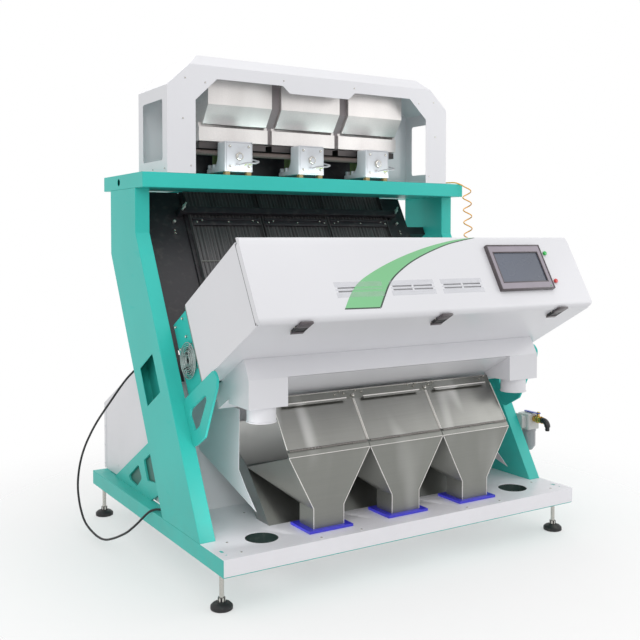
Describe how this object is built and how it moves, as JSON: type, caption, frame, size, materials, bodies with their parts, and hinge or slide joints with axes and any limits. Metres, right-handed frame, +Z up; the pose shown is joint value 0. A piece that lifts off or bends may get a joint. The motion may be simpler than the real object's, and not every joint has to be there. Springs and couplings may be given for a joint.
{
  "type": "optical colour sorter",
  "caption": "Optical colour sorter for grain: a leaning green frame with a white hood, vibrating feeders, black chutes, a hinged optical box and stainless discharge hoppers with doors.",
  "frame": {"origin": "middle of the footprint's bounding box, on the floor", "axes": "+Z up, -Y towards the operator at the front, +X to the operator's right"},
  "size_m": [1.8425, 1.5502, 1.984],
  "materials": {
    "frame_green": "semi-gloss powder coat",
    "cover_white": "semi-gloss powder coat",
    "stainless": "brushed",
    "black_coat": "satin",
    "chute_black": "hard anodised",
    "black_plastic": "matte",
    "rubber": "matte",
    "mount_brown": "matte",
    "spring_green": "laminated",
    "cast_grey": "painted casting",
    "glass": "clear",
    "lamp": "frosted",
    "screen": "gloss",
    "bezel": "satin",
    "green_cap": "gloss",
    "red_cap": "gloss",
    "blue_flange": "gloss",
    "bowl": "gloss",
    "brass": "machined",
    "blue_lever": "dipped",
    "hose_orange": "gloss",
    "lead_grey": "matte"
  },
  "bodies": {
    "machine": {"base_frame": "frame_green", "posts": "frame_green", "frame_gussets": "frame_green", "top_frame": "frame_green", "front_deck": "cover_white", "inner_side_panels": "cover_white", "hood": "cover_white", "feed_hoppers": "stainless", "drive_housings": "cast_grey", "drive_mounts": "mount_brown", "leaf_springs": "spring_green", "chute_frame": "black_coat", "chutes": "chute_black", "chute_clamp_bar": "black_coat", "front_box": "cover_white", "chamber_sides": "frame_green", "fan_housing": "black_plastic", "optic_windows": "glass", "cameras": "black_plastic", "lamp_tubes": "lamp", "ejector_bank": "stainless", "wiper_rail": "stainless", "dust_hood": "cover_white", "suction_stubs": "cover_white", "discharge_hoppers": "stainless", "door_rail": "stainless", "outlet_flanges": "blue_flange", "reject_hopper": "stainless", "rear_cabinet": "cover_white", "air_tank": "stainless", "latch_bases": "black_coat", "filter_head": "cast_grey", "filter_bowl": "bowl", "ball_valve": "brass", "inlet_elbow": "black_plastic", "line_fittings": "black_plastic", "power_cable": "rubber", "feeder_leads": "lead_grey", "hose_tail": "hose_orange", "hose_coil": "hose_orange"},
    "cover": {"front_cover": "cover_white", "hmi_bezel": "bezel", "hmi_screen": "screen"},
    "start_key": {"start_button": "green_cap"},
    "stop_key": {"stop_button": "red_cap"},
    "latch_1": {"latch_lever_1": "black_coat"},
    "latch_2": {"latch_lever_2": "black_coat"},
    "latch_3": {"latch_lever_3": "black_coat"},
    "door_1": {"hopper_door_1": "stainless"},
    "door_2": {"hopper_door_2": "stainless"},
    "door_3": {"hopper_door_3": "stainless"},
    "trays": {"feed_trays": "stainless"},
    "wiper_carriage": {"wiper": "black_plastic"},
    "fan": {"fan_rotor": "black_plastic"},
    "rear_flap": {"rear_door": "cover_white"},
    "inlet_lever": {"valve_lever": "blue_lever"},
    "foot_1": {"levelling_foot_1": "rubber"},
    "foot_2": {"levelling_foot_2": "rubber"},
    "foot_3": {"levelling_foot_3": "rubber"},
    "foot_4": {"levelling_foot_4": "rubber"}
  },
  "joints": [
    {"name": "cover_lift", "type": "hinge", "parent": "machine", "child": "cover", "pos_m": [-0.045, -0.59656, 1.23507], "axis": [-1, 0, 0], "range_deg": [0, 75]},
    {"name": "start_press", "type": "slide", "parent": "cover", "child": "start_key", "axis": [0, 0.8712, -0.4909], "range_m": [0, 0.004], "stiffness_N_per_m": 400, "springref_m": -0.002},
    {"name": "stop_press", "type": "slide", "parent": "cover", "child": "stop_key", "axis": [0, 0.8712, -0.4909], "range_m": [0, 0.004], "stiffness_N_per_m": 400, "springref_m": -0.002},
    {"name": "latch_1_turn", "type": "hinge", "parent": "machine", "child": "latch_1", "pos_m": [-0.629, -0.72358, 0.94404], "axis": [1, 0, 0], "range_deg": [0, 110]},
    {"name": "latch_2_turn", "type": "hinge", "parent": "machine", "child": "latch_2", "pos_m": [-0.045, -0.72358, 0.94404], "axis": [1, 0, 0], "range_deg": [0, 110]},
    {"name": "latch_3_turn", "type": "hinge", "parent": "machine", "child": "latch_3", "pos_m": [0.539, -0.72358, 0.94404], "axis": [1, 0, 0], "range_deg": [0, 110]},
    {"name": "door_1_swing", "type": "hinge", "parent": "machine", "child": "door_1", "pos_m": [-0.392, -0.53291, 0.49626], "axis": [1, 0, 0], "range_deg": [0, 120]},
    {"name": "door_2_swing", "type": "hinge", "parent": "machine", "child": "door_2", "pos_m": [-0.045, -0.53291, 0.49626], "axis": [1, 0, 0], "range_deg": [0, 120]},
    {"name": "door_3_swing", "type": "hinge", "parent": "machine", "child": "door_3", "pos_m": [0.302, -0.53291, 0.49626], "axis": [1, 0, 0], "range_deg": [0, 120]},
    {"name": "tray_shake", "type": "slide", "parent": "machine", "child": "trays", "axis": [0, 1, 0], "range_m": [-0.001, 0.001], "stiffness_N_per_m": 60000},
    {"name": "wiper_travel", "type": "slide", "parent": "machine", "child": "wiper_carriage", "axis": [1, 0, 0], "range_m": [0, 1.24]},
    {"name": "fan_spin", "type": "hinge", "parent": "machine", "child": "fan", "pos_m": [-0.759, -0.18887, 0.793], "axis": [1, 0, 0], "continuous": true},
    {"name": "rear_flap_lift", "type": "hinge", "parent": "machine", "child": "rear_flap", "pos_m": [-0.045, 0.76188, 0.498], "axis": [1, 0, 0], "range_deg": [0, 100]},
    {"name": "inlet_valve_turn", "type": "hinge", "parent": "machine", "child": "inlet_lever", "pos_m": [0.82, -0.37052, 0.47], "axis": [0, 0, -1], "range_deg": [0, 90]},
    {"name": "foot_1_screw", "type": "hinge", "parent": "machine", "child": "foot_1", "pos_m": [-0.825, -0.54152, 0.132], "axis": [0, 0, 1], "continuous": true},
    {"name": "foot_2_screw", "type": "hinge", "parent": "machine", "child": "foot_2", "pos_m": [0.735, -0.54152, 0.132], "axis": [0, 0, 1], "continuous": true},
    {"name": "foot_3_screw", "type": "hinge", "parent": "machine", "child": "foot_3", "pos_m": [-0.825, 0.66748, 0.132], "axis": [0, 0, 1], "continuous": true},
    {"name": "foot_4_screw", "type": "hinge", "parent": "machine", "child": "foot_4", "pos_m": [0.735, 0.66748, 0.132], "axis": [0, 0, 1], "continuous": true}
  ]
}
